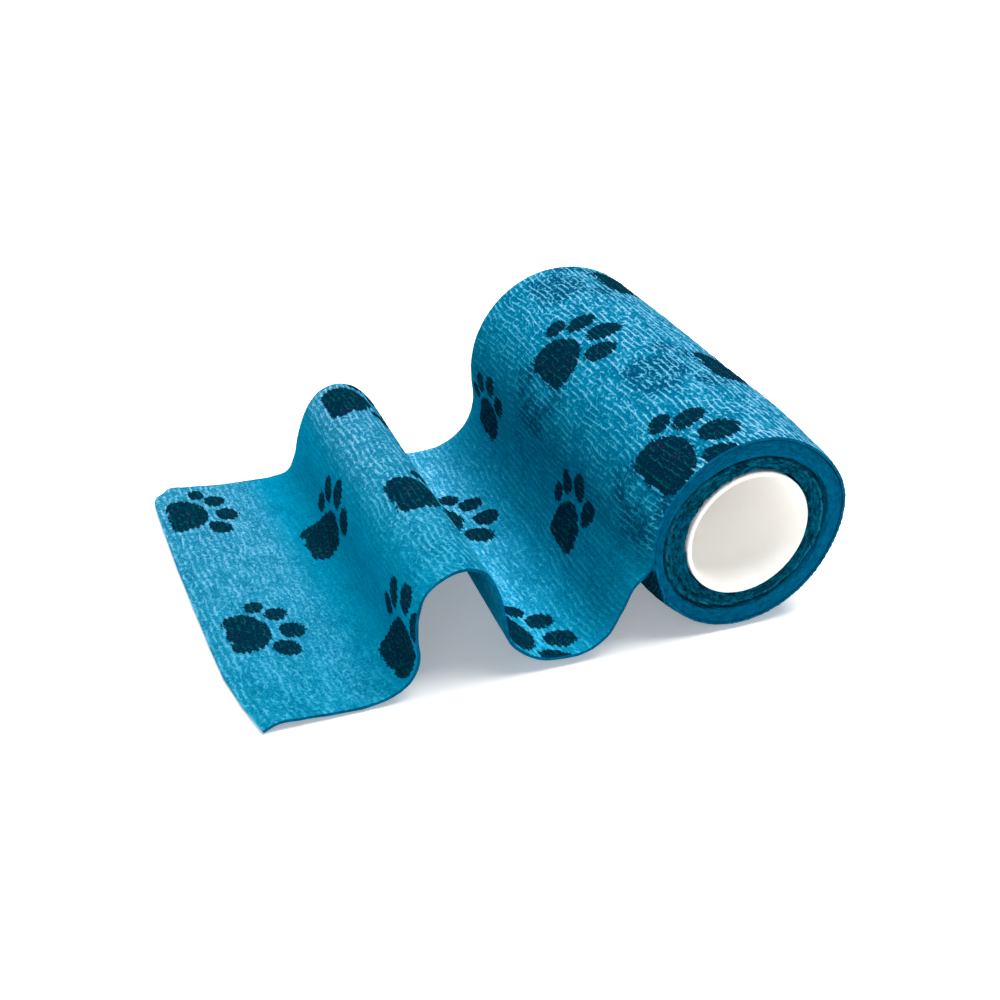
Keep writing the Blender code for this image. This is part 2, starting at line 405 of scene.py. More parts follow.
@dataclass(frozen=True)
class Crepe:
    """The crinkles of the strip: broken wavy threads that run across it, with a net of links.

    The same fields shape the mesh and the material, so that both have their ridges in one place.
    Lengths are millimetres. The widths of threads and ridges and the drift are shares of the pitch.
    """

    pitch: float = 1.45
    thread_width: float = 0.16
    slack_spread: float = 1.2
    ridge_width: float = 0.27
    sway: float = 1.0
    sways: Mottle = Mottle(9.0, 9.0, 3.0)
    drift: float = 0.42
    drifts: Mottle = Mottle(2.2, 1.0, 5.0)
    drift_step: float = 7.31
    steadiness: float = 0.75
    breaks: Mottle = Mottle(3.2, 1.0, 7.0, 1.0)
    break_step: float = 3.77
    break_ends: tuple = (-0.3, 0.2)
    net_across: float = 2.1
    net_along: float = 1.3
    link_ends: tuple = (0.0, 0.22)
    link_breaks: Mottle = Mottle(1.7, 1.2, 13.0, 1.0)
    link_break_ends: tuple = (-0.15, 0.3)

    def ridges(self, nodes: Nodes, across: Field, along: Field, width: Number) -> Field:
        """Return the height of the ridges, from 0 to 1.

        Args:
            nodes: the tree that the field belongs to.
            across: the place across the strip in millimetres.
            along: the place along the strip in millimetres.
            width: how wide a ridge is as a share of the pitch.

        Returns:
            The height as a field.
        """
        lines = (along + self.sways.at(nodes, across, along) * self.sway) / self.pitch
        line = (lines + 0.5).of("FLOOR")
        _, _, regular = self.look(nodes, along)
        drift = self.drifts.at(nodes, across, line * self.drift_step) * self.drift
        drift = drift * (1.0 - regular * self.steadiness)
        whole = self.breaks.at(nodes, across, line * self.break_step).step(*self.break_ends)
        return ((lines - line + drift) / width).bell() * whole

    def net(self, nodes: Nodes, across: Field, along: Field) -> Field:
        """Return the net of fine links between the ridges.

        Args:
            nodes: the tree that the field belongs to.
            across: the place across the strip in millimetres.
            along: the place along the strip in millimetres.

        Returns:
            1 on a link and 0 off it, as a field.
        """
        cells = nodes.vector(across / self.net_across, along / self.net_along)
        away = nodes.field(
            "ShaderNodeTexVoronoi", {"voronoi_dimensions": "2D", "feature": "DISTANCE_TO_EDGE"},
            {"Vector": cells, "Scale": 1.0}, "Distance")
        whole = self.link_breaks.at(nodes, across, along).step(*self.link_break_ends)
        return (1.0 - away.step(*self.link_ends)) * whole

    @staticmethod
    def look(nodes: Nodes, along: Field) -> tuple[Field, Field, Field]:
        """Return how the cloth is at a place along the strip.

        Args:
            nodes: the tree that the fields belong to.
            along: the place along the strip in millimetres.

        Returns:
            The crinkles' strength, which also sets the painted highlight, the tone, which is painted
            light and shade, and the threads' regularity.
        """
        reach = STRETCH_ROWS[-1].along
        stops = tuple(
            (row.along / reach, (row.crinkle_and_highlight / LOOK_TOP, row.tone / LOOK_TOP, row.regular))
            for row in STRETCH_ROWS)
        strength, tone, regular = nodes.split(nodes.ramp(along / reach, stops))
        return strength * LOOK_TOP, tone * LOOK_TOP, regular


@dataclass(frozen=True)
class PawPrint:
    """The printed paws: rows along the strip, every other row set half a pitch across.

    The print is drawn together where the cloth is slack, at the cut end and on the rise to the roll,
    and drawn out on the roll. Its rows lie aslant between the fold and the rise.
    """

    row_pitch: float = 28.8
    place_pitch: float = 53.7
    first_row: float = 7.0
    first_place: float = 35.7
    band_before: float = 8.0
    raggedness: float = 0.85
    softness: float = 0.35
    slack_ends: tuple = (18.0, 30.0)
    slack_squeeze: float = 0.22
    slack_narrowing: float = 0.08
    slack_shift: float = 3.8
    skew: float = 0.05
    skew_pivot: float = 60.0
    skew_start: tuple = (70.0, 88.0)
    skew_end: tuple = (120.0, 140.0)
    wound_ends: tuple = (88.0, 102.0)
    wound_shift: float = 1.2
    rise_start: tuple = (106.0, 113.0)
    rise_end: tuple = (139.0, 143.0)
    rise_squeeze: float = 0.18
    rise_shift: float = 1.1
    drawn_ends: tuple = (156.0, 178.0)
    drawn_out: float = 2.4

    def mask(self, across: Field, along: Field, shift: float, roughen: Field) -> Field:
        """Return 1 inside a printed paw and 0 outside.

        Args:
            across: the place across the strip in millimetres.
            along: the place along the strip in millimetres.
            shift: how far along the strip this set of paws is moved.
            roughen: noise about 0 that frays the print's outline.

        Returns:
            The mask as a field.
        """
        x, y = self._from_paw(across, along, shift)
        distances = [self._outside(x, y, blob) for blob in PAW_ROWS]
        nearest = reduce(lambda one, other: one.of("MINIMUM", other), distances)
        return (0.5 - (nearest + roughen * self.raggedness) / self.softness).clamp()

    def _from_paw(self, across: Field, along: Field, shift: float) -> tuple[Field, Field]:
        """Return how far a place lies from the middle of its paw.

        Args:
            across: the place across the strip in millimetres.
            along: the place along the strip in millimetres.
            shift: how far along the strip this set of paws is moved.

        Returns:
            The distances across and along, in the unsqueezed paw's millimetres.
        """
        slack = 1.0 - along.step(*self.slack_ends)
        rise = along.step(*self.rise_start) * (1.0 - along.step(*self.rise_end))
        kept = 1.0 - rise * self.rise_squeeze
        aslant = along.step(*self.skew_start) * (1.0 - along.step(*self.skew_end))
        aslant = aslant * (across - self.skew_pivot) * self.skew
        drawn = along.step(*self.drawn_ends) * self.drawn_out
        start = self.first_row + shift - self.band_before
        rows = (along - aslant - drawn - start) / self.row_pitch
        row = rows.of("FLOOR")
        y = (rows - row) * self.row_pitch - self.band_before
        moved = across + slack * self.slack_shift + rise * self.rise_shift
        moved = moved + along.step(*self.wound_ends) * self.wound_shift
        set_over = row.of("MODULO", 2.0).of("ABSOLUTE") * (self.place_pitch / 2.0)
        places = (moved - self.first_place - set_over) / self.place_pitch + 0.5
        x = (places - places.of("FLOOR") - 0.5) * self.place_pitch
        return x / (kept - slack * self.slack_narrowing), y / (kept - slack * self.slack_squeeze)

    @staticmethod
    def _outside(across: Field, along: Field, blob: BlobRow) -> Field:
        """Return about how far a place lies outside one ellipse of the paw.

        Args:
            across: how far across the place lies from the paw's middle, in millimetres.
            along: how far along it lies from there.
            blob: the ellipse.

        Returns:
            The distance in millimetres, below 0 inside.
        """
        cos, sin = math.cos(math.radians(blob.turn)), math.sin(math.radians(blob.turn))
        x, y = across - blob.across, along - blob.along
        right = (x * cos + y * sin) / blob.half_across
        up = (y * cos - x * sin) / blob.half_along
        return ((right * right + up * up) ** 0.5 - 1.0) * min(blob.half_across, blob.half_along)


def new_material(name: str) -> tuple[bpy.types.Material, Nodes, bpy.types.Node]:
    """Make a material.

    Args:
        name: the material's name.

    Returns:
        The material, its node tree and its Principled shader.
    """
    material = bpy.data.materials.new(name)
    material.use_nodes = True
    shader = material.node_tree.nodes["Principled BSDF"]
    return material, Nodes(material.node_tree), shader


def point_number(nodes: Nodes, name: str) -> Field:
    """Return, in a material, a number that the mesh keeps for each point."""
    return nodes.field("ShaderNodeAttribute", {"attribute_name": name}, None, "Fac")


class ClothFields(NamedTuple):
    """The fields that the cloth's colours are worked out from."""

    across: Field
    along: Field
    strength: Field
    tone: Field
    on_roll: Field
    grain: Field
    fuzz: Field
    patches: Field
    threads: Field
    height: Field


@dataclass(frozen=True)
class ClothRelief:
    """The fine relief of the cloth: threads and links where it is stretched, fuzz where it is slack."""

    grain: Mottle = Mottle(0.55, 0.40, 11.0, 2.0)
    fuzz: Mottle = Mottle(0.90, 0.55, 12.0, 3.0)
    patches: Mottle = Mottle(7.0, 5.0, 17.0, 2.0)
    thread_height: float = 0.55
    link_height: float = 0.50
    slack_keeps: float = 0.35
    grain_height: float = 0.35
    fuzz_height: float = 0.80
    fuzz_mean: float = 0.20
    stretch_smooths: float = 0.70
    roll_blend: float = 4.0

    def fields(self, nodes: Nodes, crepe: Crepe, tail_length: float) -> ClothFields:
        """Return the cloth's fields.

        Args:
            nodes: the material's tree.
            crepe: the crinkles.
            tail_length: the loose end's length in millimetres, past which the roll starts.

        Returns:
            The fields, of which the height is the relief itself.
        """
        across, along, _ = nodes.split(nodes.field("ShaderNodeUVMap", {"uv_map": UV_NAME}))
        across, along = across * UV_MM, along * UV_MM
        strength, tone, regular = crepe.look(nodes, along)
        grain = self.grain.at(nodes, across, along)
        fuzz = self.fuzz.at(nodes, across, along)
        patches = self.patches.at(nodes, across, along)
        width = crepe.thread_width * (1.0 + (1.0 - regular) * crepe.slack_spread)
        threads = crepe.ridges(nodes, across, along, width)
        woven = threads * self.thread_height + crepe.net(nodes, across, along) * self.link_height
        woven = woven * (regular * (1.0 - self.slack_keeps) + self.slack_keeps)
        fluff = (fuzz * self.fuzz_height + self.fuzz_mean) * (1.0 - regular * self.stretch_smooths)
        height = woven + grain * self.grain_height + fluff
        on_roll = along.step(tail_length, tail_length + self.roll_blend)
        return ClothFields(across, along, strength, tone, on_roll, grain, fuzz, patches, threads, height)


@dataclass(frozen=True)
class EdgeFinish:
    """The finish of the strip's edges: plain on the outer turns, dark and mottled on the inner ones.

    Between the two lies the crevice, painted dark as shade, and a little further in a lip with a painted
    highlight.
    Places and widths round the crevice are in turns.
    """

    plain: tuple = (0.000, 0.120, 0.245)
    plain_dull: tuple = (0.000, 0.062, 0.132)
    crinkled: tuple = (0.000, 0.105, 0.190)
    crinkled_dark: tuple = (0.000, 0.022, 0.038)
    lip: tuple = (0.010, 0.180, 0.310)
    flecks: Mottle = Mottle(2.0, 37.0, 23.0, 3.0)
    plain_ends: tuple = (-0.5, 0.5)
    crinkled_ends: tuple = (-0.3, 0.35)
    shown_reach: float = 0.05
    wound_reach: float = 1.5
    crevice_width: float = 1.1
    crevice_shade_cover: float = 0.75
    lip_at: float = 2.1
    lip_width: float = 0.55
    lip_cover: float = 0.35

    def mask(self, across: Field, outer: Field, width: float) -> Field:
        """Return where the strip's edges are.

        Args:
            across: the place across the strip in millimetres.
            outer: 1 on the strip that shows and 0 on the turns below it.
            width: the strip's width in millimetres.

        Returns:
            1 on an edge and 0 away from it, as a field.
        """
        reach = self.wound_reach - outer * (self.wound_reach - self.shown_reach)
        return 1.0 - (across.of("MINIMUM", width - across) / reach).step(0.0, 1.0)

    def colour(self, nodes: Nodes, along: Field) -> Field:
        """Return the edges' colour.

        Args:
            nodes: the material's tree.
            along: the place along the strip in millimetres.

        Returns:
            The colour as a field.
        """
        flecks = self.flecks.at(nodes, along, along)
        past_crevice = point_number(nodes, RING_NAME) - RING_OFFSET
        plain = nodes.mix_colour(flecks.step(*self.plain_ends), self.plain_dull, self.plain)
        crinkled = nodes.mix_colour(flecks.step(*self.crinkled_ends), self.crinkled_dark, self.crinkled)
        colour = nodes.mix_colour(past_crevice.step(0.0, 1.0), plain, crinkled)
        # Painted shade: the crevice between the outer and the inner turns is darkened.
        crevice = (past_crevice / self.crevice_width).bell() * (self.crevice_shade_cover - flecks)
        colour = nodes.mix_colour(crevice.clamp(), colour, self.crinkled_dark)
        # Painted highlight: the lip just inside the crevice is lightened.
        lip = ((past_crevice - self.lip_at) / self.lip_width).bell() * (flecks + self.lip_cover)
        return nodes.mix_colour(lip.clamp(), colour, self.lip)


@dataclass(frozen=True)
class CrepeFinish:
    """The finish of the bandage: blue crinkled cloth with a dark print, painted paler on its threads.

    On the roll, the print of the turn below shows faintly through the holes of the weave. The threads'
    pale and lilac colours are painted highlight, the holes' dark colour is painted shade, and the tone
    scales the colour as painted light and shade.
    """

    # The valley colour is painted shade in the weave's holes and low places.
    valley_shade: tuple = (0.000, 0.085, 0.168)
    base: tuple = (0.000, 0.178, 0.302)
    # The ridge colour is painted highlight on the threads' tops, and the lilac is a brighter painted
    # highlight.
    ridge: tuple = (0.018, 0.300, 0.450)
    lilac_highlight: tuple = (0.275, 0.450, 0.655)
    ink: tuple = (0.000, 0.015, 0.034)
    ink_ridge: tuple = (0.000, 0.075, 0.080)
    ink_purple: tuple = (0.045, 0.010, 0.065)
    ghost: tuple = (0.000, 0.034, 0.085)
    relief: ClothRelief = ClothRelief()
    edges: EdgeFinish = EdgeFinish()
    fray_mottle: float = 0.8
    fray_thread: float = 0.6
    fray_mean: float = 0.2
    inner_print: float = 0.35
    ghost_strength: float = 0.75
    ghost_shift: float = -15.7
    ghost_softness: float = 2.2
    patch_fill: float = 0.4
    grain_fill: float = 0.3
    fill_strength: float = 0.6
    fill_least: float = 0.3
    roll_opens: float = 0.12
    ghost_opens: float = 0.2
    fill_ends: tuple = (-0.3, 0.3)
    comb_ends: tuple = (0.5, 6.0)
    comb_strength: float = 0.4
    patch_light: float = 0.25
    ridge_highlight_ends: tuple = (0.15, 0.75)
    ghost_dulls: float = 0.3
    highlight_ends: tuple = (0.1, 1.2)
    highlight_strength_ends: tuple = (0.5, 1.0)
    haze_across_ends: tuple = (-30.0, 100.0)
    slack_haze: float = 0.03
    ghost_hides: float = 0.5
    ink_grain: float = 0.5
    ink_ends: tuple = (0.15, 1.0)
    purple_mottle: float = 0.4
    purple_ends: tuple = (0.2, 0.6)
    bump_depth: float = 0.22 * MM
    roughness: float = 0.75
    specular: float = 0.0

    def build(self, crepe: Crepe, paws: PawPrint, width: float, tail_length: float) -> bpy.types.Material:
        """Make the material.

        Args:
            crepe: the crinkles, whose fields colour and roughen the cloth.
            paws: the printed pattern.
            width: the strip's width in millimetres.
            tail_length: the loose end's length in millimetres, past which the roll starts.

        Returns:
            The material.
        """
        material, nodes, shader = new_material("crepe_fabric")
        cloth = self.relief.fields(nodes, crepe, tail_length)
        fray = (cloth.grain + cloth.fuzz) * self.fray_mottle + cloth.threads * self.fray_thread
        fray = fray - self.fray_mean
        outer = point_number(nodes, SIDE_NAME)
        printed = paws.mask(cloth.across, cloth.along, 0.0, fray)
        printed = printed * (outer * (1.0 - self.inner_print) + self.inner_print)
        below = replace(paws, softness=self.ghost_softness)
        ghost = below.mask(cloth.across, cloth.along, self.ghost_shift, fray)
        ghost = ghost * cloth.on_roll * self.ghost_strength
        plain, ink = self._cloth_colour(nodes, cloth, ghost), self._ink_colour(nodes, cloth)
        colour = nodes.mix_colour(printed, plain, ink)
        edge = self.edges.mask(cloth.across, outer, width)
        colour = nodes.mix_colour(edge, colour, self.edges.colour(nodes, cloth.along))
        bump = nodes.field("ShaderNodeBump", None, {
            "Strength": 1.0, "Distance": self.bump_depth, "Height": cloth.height * cloth.strength})
        nodes.feed(shader, {
            "Base Color": colour, "Normal": bump, "Roughness": self.roughness,
            "Specular IOR Level": self.specular})
        return material

    def _cloth_colour(self, nodes: Nodes, cloth: ClothFields, ghost: Field) -> Field:
        """Return the unprinted cloth's colour, with painted shade in its holes and painted highlight on
        its threads.

        Args:
            nodes: the material's tree.
            cloth: the cloth's fields.
            ghost: how strongly the print of the turn below shows through.

        Returns:
            The colour as a field.
        """
        strength, on_roll = cloth.strength, cloth.on_roll
        filled = cloth.height + cloth.patches * self.patch_fill + cloth.grain * self.grain_fill
        filled = filled * (strength * self.fill_strength + self.fill_least)
        filled = filled - on_roll * strength * self.roll_opens - ghost * self.ghost_opens
        # Painted shade: the weave's holes and low places take the dark valley colour, with more of them
        # on the roll where the crinkle is strong. Where the print of the turn below shows through, its
        # ghost colour stands there instead.
        holes = nodes.mix_colour(ghost, self.valley_shade, self.ghost)
        colour = nodes.mix_colour(filled.step(*self.fill_ends), holes, self.base)
        # Painted highlight: the raised threads take the pale ridge colour where the crinkle is strong,
        # and more of it along the roll's near edge (the comb).
        comb = (1.0 - cloth.across.step(*self.comb_ends)) * on_roll * self.comb_strength
        lit = (cloth.height + cloth.patches * self.patch_light) * (strength + comb)
        threads = lit.step(*self.ridge_highlight_ends) * (1.0 - ghost * self.ghost_dulls)
        colour = nodes.mix_colour(threads, colour, self.ridge)
        off_roll = 1.0 - on_roll
        # Painted highlight: the lilac goes on the most lit threads, and a little more is laid over the
        # loose end, growing towards its far edge.
        highlight_and_haze = lit.step(*self.highlight_ends) + off_roll * self.slack_haze
        highlight_and_haze = highlight_and_haze * strength.step(*self.highlight_strength_ends) * (1.0 - ghost * self.ghost_hides)
        highlight_and_haze = highlight_and_haze * (cloth.across.step(*self.haze_across_ends) * off_roll + on_roll)
        colour = nodes.mix_colour(highlight_and_haze, colour, self.lilac_highlight)
        # Painted light and shade: the tone scales the whole colour along the strip.
        return nodes.field(
            "ShaderNodeVectorMath", {"operation": "SCALE"}, {0: colour, "Scale": cloth.tone})

    def _ink_colour(self, nodes: Nodes, cloth: ClothFields) -> Field:
        """Return the printed cloth's colour, greener on its threads and purple in places.

        Args:
            nodes: the material's tree.
            cloth: the cloth's fields.

        Returns:
            The colour as a field.
        """
        raised = (cloth.height + cloth.grain * self.ink_grain).step(*self.ink_ends)
        ink = nodes.mix_colour(raised, self.ink, self.ink_ridge)
        purple = (cloth.patches + cloth.fuzz) * self.purple_mottle + cloth.grain
        return nodes.mix_colour(purple.step(*self.purple_ends), ink, self.ink_purple)


@dataclass(frozen=True)
class PlasticFinish:
    """The finish of the core: smooth warm white plastic, with a painted glow inside its bore that stands
    in for light in the tube.
    """

    white: tuple = (0.860, 0.840, 0.805)
    cool_white: tuple = (0.820, 0.830, 0.815)
    painted_glow_colour: tuple = (1.000, 0.930, 0.850)
    no_glow: tuple = (0.0, 0.0, 0.0)
    painted_glow: float = 0.100
    glow_edge: float = 0.2 * MM
    cloud_scale: float = 60.0
    cloud_length_scale: float = 20.0
    cloud_detail: float = 2.0
    tint_ends: tuple = (-0.6, 0.6)
    roughness: float = 0.42
    roughness_change: float = 0.05
    grain_scale: float = 900.0
    grain_detail: float = 1.0
    grain_strength: float = 0.3
    grain_depth: float = 0.05 * MM

    def build(self, axis_x: float, axis_height: float, bore: float) -> bpy.types.Material:
        """Make the material.

        Args:
            axis_x: the x of the tube's axis.
            axis_height: the height of the tube's axis.
            bore: the radius within which the wall has the painted glow.

        Returns:
            The material.
        """
        material, nodes, shader = new_material("white_plastic")
        x, y, z = nodes.split(nodes.field("ShaderNodeTexCoord", output="Object"))
        cloud = nodes.noise(
            x * self.cloud_scale, y * self.cloud_length_scale, z * self.cloud_scale, self.cloud_detail)
        fine = nodes.noise(
            x * self.grain_scale, y * self.grain_scale, z * self.grain_scale, self.grain_detail)
        aside, above = x - axis_x, z - axis_height
        radius = (aside * aside + above * above) ** 0.5
        # Painted light: inside the bore the wall glows, to brighten the inside of the tube.
        inside = 1.0 - radius.step(bore, bore + self.glow_edge)
        bump = nodes.field("ShaderNodeBump", None, {
            "Strength": self.grain_strength, "Distance": self.grain_depth, "Height": fine})
        nodes.feed(shader, {
            "Base Color": nodes.mix_colour(cloud.step(*self.tint_ends), self.white, self.cool_white),
            "Roughness": cloud * self.roughness_change + self.roughness,
            "Emission Color": nodes.mix_colour(inside, self.no_glow, self.painted_glow_colour),
            "Emission Strength": self.painted_glow, "Normal": bump})
        return material


@dataclass(frozen=True)
class RollShape:
    """The roll's own form and the course of the strip in it, in metres and degrees."""

    width: float = 100.0 * MM
    solid_thickness: float = 1.0 * MM
    start_radius: float = 24.1 * MM
    sink: float = 0.14 * MM
    leave_angle: float = 186.0
    near_drop: float = 1.6 * MM
    near_drop_width: float = 12.0 * MM
    far_drop: float = 0.3 * MM
    far_drop_width: float = 3.0 * MM

    @property
    def axis_height(self) -> float:
        """Return the height of the roll's axis."""
        return self.radius(270.0) - self.sink

    @property
    def axis_x(self) -> float:
        """Return the x of the roll's axis."""
        reach = max(row.reach for row in CUT_ROWS) * MM
        return (reach - self.radius(self.leave_angle + 360.0)) / 2.0

    def radius(self, angle: float | np.ndarray) -> float | np.ndarray:
        """Return the outermost turn's outer radius at a winding angle, one turn from 0 to 1."""
        return self.start_radius + self.solid_thickness * (angle - self.leave_angle) / 360.0

    def drop(self, place: float) -> float:
        """Return how far the roll's edge is drawn in.

        Args:
            place: the place across the strip, from 0 to 1.

        Returns:
            The distance in metres.
        """
        near = max(0.0, 1.0 - place * self.width / self.near_drop_width)
        far = max(0.0, 1.0 - (1.0 - place) * self.width / self.far_drop_width)
        return self.near_drop * near ** 2 + self.far_drop * far ** 2

    def unevenness(self, angle: np.ndarray, place: float) -> np.ndarray:
        """Return how far the roll's soft lumps raise its surface.

        Args:
            angle: angles round the axis in degrees.
            place: the place across the strip, from 0 to 1.

        Returns:
            The rise at each angle, in metres.
        """
        total = np.zeros_like(angle)
        for lump in LUMP_ROWS:
            aside = (angle - lump.angle + 180.0) % 360.0 - 180.0
            away = (aside / lump.angle_spread) ** 2
            away = away + ((place - lump.place) / lump.place_spread) ** 2
            total += lump.rise * MM * np.exp(-away)
        return total

    def outer_turn(self, place: float, angles: np.ndarray) -> np.ndarray:
        """Return the middle of the outermost turn's solid thickness.

        Args:
            place: the place across the strip, from 0 to 1.
            angles: the winding angles in degrees.

        Returns:
            The (x, z) point at each angle.
        """
        radius = self.radius(angles) - self.drop(place) + self.unevenness(angles, place)
        radius = radius - self.solid_thickness / 2.0
        x = self.axis_x + radius * np.cos(np.radians(angles))
        z = self.axis_height + radius * np.sin(np.radians(angles))
        return np.stack([x, np.maximum(z, self.solid_thickness / 2.0)], axis=1)

    def fold_points(self, place: float) -> np.ndarray:
        """Return the fold rows' points on one lengthwise line of the strip.

        Args:
            place: the place across the strip, from 0 to 1.

        Returns:
            The (x, z) point of every row.
        """
        points = []
        for row in FOLD_ROWS:
            reach = row.near_reach + (row.far_reach - row.near_reach) * place
            height = row.near_height + (row.far_height - row.near_height) * place
            if row.name == "cut_end":
                reach = np.interp(
                    place * self.width / MM,
                    [cut.across for cut in CUT_ROWS], [cut.reach for cut in CUT_ROWS])
            points.append((self.axis_x - reach * MM, height * MM))
        return np.array(points)

    def loose_end(self, place: float, steps: int) -> np.ndarray:
        """Return a smooth line down the loose end, from the roll to the cut end.

        Args:
            place: the place across the strip, from 0 to 1.
            steps: how many stretches lie between two fold rows.

        Returns:
            The (x, z) points of the middle of the solid's thickness.
        """
        root = self.outer_turn(place, np.array([self.leave_angle + 360.0]))
        points = np.vstack([root, self.fold_points(place)])
        lengths = np.linalg.norm(np.diff(points, axis=0), axis=1)
        rates = np.diff(points, axis=0) / lengths[:, None]
        before, after = lengths[:-1, None], lengths[1:, None]
        inner = (rates[:-1] * after + rates[1:] * before) / (before + after)
        slopes = np.vstack([[0.0, -1.0], inner, rates[-1]])
        t = (np.arange(steps) / steps)[None, :, None]
        length = lengths[:, None, None]
        curve = (
            (2 * t ** 3 - 3 * t ** 2 + 1) * points[:-1, None]
            + (t ** 3 - 2 * t ** 2 + t) * length * slopes[:-1, None]
            + (3 * t ** 2 - 2 * t ** 3) * points[1:, None]
            + (t ** 3 - t ** 2) * length * slopes[1:, None])
        return np.vstack([curve.reshape(-1, 2), points[-1:]])


def along_line(line: np.ndarray) -> np.ndarray:
    """Return how far each point of a line lies from its first, measured along it."""
    return np.concatenate([[0.0], np.cumsum(np.linalg.norm(np.diff(line, axis=0), axis=1))])


class Side(Enum):
    """The two sides of the strip: the printed outer one and the one that lies inwards."""

    OUTER = 1.0
    INNER = 0.0


class GeometryTree(Nodes):
    """A Geometry Nodes tree with named inputs that is run once and leaves a plain mesh."""

    SOCKETS = {float: "NodeSocketFloat", int: "NodeSocketInt", bpy.types.Material: "NodeSocketMaterial"}

    def __init__(self, name: str, values: dict[str, object]) -> None:
        """Make the tree.

        Args:
            name: the tree's name.
            values: each named input and the value that it gets.
        """
        super().__init__(bpy.data.node_groups.new(name, "GeometryNodeTree"))
        self.values = values
        self.identifiers = {}
        face = self.tree.interface
        face.new_socket("Geometry", in_out="INPUT", socket_type="NodeSocketGeometry")
        face.new_socket("Geometry", in_out="OUTPUT", socket_type="NodeSocketGeometry")
        for key, value in values.items():
            socket = face.new_socket(key, in_out="INPUT", socket_type=self.SOCKETS[type(value)])
            self.identifiers[key] = socket.identifier
        self.inlet = self.tree.nodes.new("NodeGroupInput")

    def value(self, name: str) -> Field:
        """Return one of the tree's named inputs."""
        return Field(self, self.inlet.outputs[name])

    def kept(self, name: str, kind: str = "FLOAT") -> Field:
        """Return what the mesh keeps for each point under a name."""
        return self.field("GeometryNodeInputNamedAttribute", {"data_type": kind}, {"Name": name})

    def position(self) -> tuple[Field, Field, Field]:
        """Return a point's x, y and z."""
        return self.split(self.field("GeometryNodeInputPosition"))

    def moved(self, geometry: Field, **move: Field) -> Field:
        """Return the geometry with its points moved: by an Offset, or to a Position."""
        return self.field("GeometryNodeSetPosition", None, {"Geometry": geometry, **move})

    def close(self, geometry: Field) -> None:
        """End the tree: realize any instances, set the material and give the result out.

        Args:
            geometry: the finished geometry.
        """
        real = self.field("GeometryNodeRealizeInstances", None, {"Geometry": geometry})
        dressed = self.field(
            "GeometryNodeSetMaterial", None, {"Geometry": real, "Material": self.value("Material")})
        self.add("NodeGroupOutput", None, {"Geometry": dressed})

    def run(self, host: bpy.types.Object, name: str, thickness: float = 0.0) -> bpy.types.Object:
        """Run the tree on an object and keep the result as a plain mesh.

        Args:
            host: the object that the tree starts from; it is removed.
            name: the new object's name.
            thickness: the wall that an open surface gets, in metres, or 0 for none.

        Returns:
            The new object.
        """
        modifier = host.modifiers.new("grow", "NODES")
        modifier.node_group = self.tree
        for key, value in self.values.items():
            modifier[self.identifiers[key]] = value
        if thickness:
            wall = host.modifiers.new("wall", "SOLIDIFY")
            wall.thickness = thickness
            wall.offset = 0.0
        graph = bpy.context.evaluated_depsgraph_get()
        data = bpy.data.meshes.new_from_object(
            host.evaluated_get(graph), preserve_all_data_layers=True, depsgraph=graph)
        data.name = name
        bpy.data.objects.remove(host, do_unlink=True)
        return place_mesh(name, data)


def place_mesh(name: str, data: bpy.types.Mesh) -> bpy.types.Object:
    """Put a mesh into the scene as an object at the origin.

    Args:
        name: the object's name.
        data: the mesh.

    Returns:
        The object.
    """
    piece = bpy.data.objects.new(name, data)
    bpy.context.scene.collection.objects.link(piece)
    return piece


